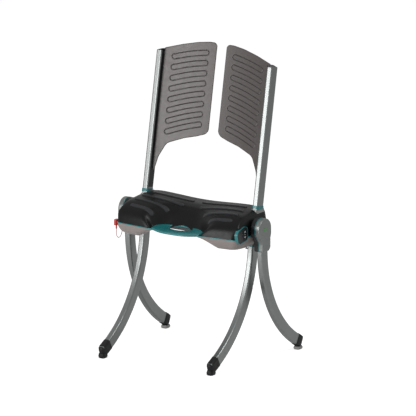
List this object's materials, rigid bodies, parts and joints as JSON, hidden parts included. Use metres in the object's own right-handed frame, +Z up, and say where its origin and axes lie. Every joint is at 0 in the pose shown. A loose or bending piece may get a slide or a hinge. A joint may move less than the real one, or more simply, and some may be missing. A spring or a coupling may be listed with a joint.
{
  "type": "powered lifting chair",
  "caption": "Portable motor-driven chair with curved plug-in legs, a moulded seat holding the drive, and a split plug-in backrest on two posts.",
  "frame": {"origin": "on the floor, centred between the front and rear feet and between the two sides", "axes": "+Z up, -Y the way the sitter faces, +X the sitter's left"},
  "size_m": [0.524, 0.4671, 0.954],
  "materials": {
    "top_shell": "moulded, satin",
    "under_shell": "painted, satin",
    "teal_trim": "moulded",
    "teal_handle": "moulded",
    "screw_steel": "zinc plated",
    "black_rubber": "moulded",
    "bezel_teal": "moulded",
    "panel_black": "film",
    "lamp": "clear",
    "circuit_board": "solder mask",
    "socket_alloy": "cast",
    "frame_steel": "powder coat",
    "bearing_bronze": "sintered",
    "shaft_steel": "ground",
    "motor_can": "painted",
    "battery": "shrink wrap",
    "cable": "sheath",
    "key_socket": "moulded",
    "key_red": "moulded",
    "lanyard": "braided",
    "button_black": "soft touch",
    "button_teal": "moulded",
    "tube_alloy": "anodised, satin",
    "strip_black": "extruded",
    "panel_grey": "moulded, satin",
    "knuckle_black": "moulded",
    "knuckle_silver": "cast, painted",
    "inlay_green": "moulded"
  },
  "bodies": {
    "seat": {"seat_top_shell": "top_shell", "seat_under_shell": "under_shell", "seam_trim": "teal_trim", "carry_handle": "teal_handle", "shell_screws": "screw_steel", "charge_port_cap": "black_rubber", "panel_bezel": "bezel_teal", "panel_plate": "panel_black", "panel_lamp": "lamp", "panel_board": "circuit_board", "post_sockets": "socket_alloy", "front_leg_sockets": "socket_alloy", "post_collars": "teal_trim", "front_leg_collars": "teal_trim", "chassis_frame": "frame_steel", "shaft_bearings": "bearing_bronze", "gearbox_housing": "socket_alloy", "lift_motor": "motor_can", "motor_bracket": "frame_steel", "battery_pack": "battery", "control_board": "circuit_board", "power_lead": "cable", "key_socket": "key_socket"},
    "lift": {"drive_shaft": "shaft_steel", "drive_gear": "shaft_steel", "knuckle_inner_left": "knuckle_black", "knuckle_inner_right": "knuckle_black", "knuckle_seam_left": "teal_trim", "knuckle_seam_right": "teal_trim", "knuckle_cover_left": "knuckle_silver", "knuckle_cover_right": "knuckle_silver", "knuckle_inlays": "inlay_green"},
    "motor_pinion": {"motor_pinion": "shaft_steel"},
    "rear_leg_left": {"rear_leg_left": "tube_alloy", "rear_foot_left": "black_rubber"},
    "front_leg_left": {"front_leg_left": "tube_alloy", "front_foot_left": "black_rubber"},
    "back_left": {"back_post_left": "tube_alloy", "post_strip_left": "strip_black", "back_panel_left": "panel_grey"},
    "rear_leg_right": {"rear_leg_right": "tube_alloy", "rear_foot_right": "black_rubber"},
    "front_leg_right": {"front_leg_right": "tube_alloy", "front_foot_right": "black_rubber"},
    "back_right": {"back_post_right": "tube_alloy", "post_strip_right": "strip_black", "back_panel_right": "panel_grey"},
    "up_button": {"up_button": "button_black"},
    "down_button": {"down_button": "button_black"},
    "post_release_left": {"post_release_left": "button_teal"},
    "post_release_right": {"post_release_right": "button_teal"},
    "front_leg_release_left": {"front_leg_release_left": "button_teal"},
    "front_leg_release_right": {"front_leg_release_right": "button_teal"},
    "rear_leg_release_left": {"rear_leg_release_left": "button_teal"},
    "rear_leg_release_right": {"rear_leg_release_right": "button_teal"},
    "pull_key": {"pull_key": "key_red", "lanyard": "lanyard"}
  },
  "joints": [
    {"name": "lift", "type": "hinge", "parent": "seat", "child": "lift", "pos_m": [0, 0, 0.428], "axis": [1, 0, 0], "range_deg": [0, 135]},
    {"name": "motor_spin", "type": "hinge", "parent": "seat", "child": "motor_pinion", "pos_m": [0, 0.042, 0.428], "axis": [1, 0, 0], "range_deg": [-410, 5]},
    {"name": "front_leg_left_plug", "type": "slide", "parent": "seat", "child": "front_leg_left", "axis": [0, -0.095, -0.9955], "range_m": [0, 0.075]},
    {"name": "rear_leg_left_plug", "type": "slide", "parent": "lift", "child": "rear_leg_left", "axis": [0, 0, -1], "range_m": [0, 0.06]},
    {"name": "back_left_plug", "type": "slide", "parent": "seat", "child": "back_left", "axis": [0, 0.1882, 0.9821], "range_m": [0, 0.075]},
    {"name": "front_leg_right_plug", "type": "slide", "parent": "seat", "child": "front_leg_right", "axis": [0, -0.095, -0.9955], "range_m": [0, 0.075]},
    {"name": "rear_leg_right_plug", "type": "slide", "parent": "lift", "child": "rear_leg_right", "axis": [0, 0, -1], "range_m": [0, 0.06]},
    {"name": "back_right_plug", "type": "slide", "parent": "seat", "child": "back_right", "axis": [0, 0.1882, 0.9821], "range_m": [0, 0.075]},
    {"name": "up_button_press", "type": "slide", "parent": "seat", "child": "up_button", "axis": [-1, 0, 0], "range_m": [0, 0.001], "stiffness_N_per_m": 800},
    {"name": "down_button_press", "type": "slide", "parent": "seat", "child": "down_button", "axis": [-1, 0, 0], "range_m": [0, 0.001], "stiffness_N_per_m": 800},
    {"name": "post_release_left_press", "type": "slide", "parent": "seat", "child": "post_release_left", "axis": [0, -1, 0], "range_m": [0, 0.0025], "stiffness_N_per_m": 1200},
    {"name": "front_leg_release_left_press", "type": "slide", "parent": "seat", "child": "front_leg_release_left", "axis": [0, 0, 1], "range_m": [0, 0.0025], "stiffness_N_per_m": 1200},
    {"name": "rear_leg_release_left_press", "type": "slide", "parent": "lift", "child": "rear_leg_release_left", "axis": [0, -1, 0], "range_m": [0, 0.0015], "stiffness_N_per_m": 1200},
    {"name": "post_release_right_press", "type": "slide", "parent": "seat", "child": "post_release_right", "axis": [0, -1, 0], "range_m": [0, 0.0025], "stiffness_N_per_m": 1200},
    {"name": "front_leg_release_right_press", "type": "slide", "parent": "seat", "child": "front_leg_release_right", "axis": [0, 0, 1], "range_m": [0, 0.0025], "stiffness_N_per_m": 1200},
    {"name": "rear_leg_release_right_press", "type": "slide", "parent": "lift", "child": "rear_leg_release_right", "axis": [0, -1, 0], "range_m": [0, 0.0015], "stiffness_N_per_m": 1200},
    {"name": "key_pull", "type": "slide", "parent": "seat", "child": "pull_key", "axis": [-1, 0, 0], "range_m": [0, 0.012]}
  ],
  "couplings": [
    {"joint": "motor_spin", "follows": "lift", "ratio": -3}
  ]
}
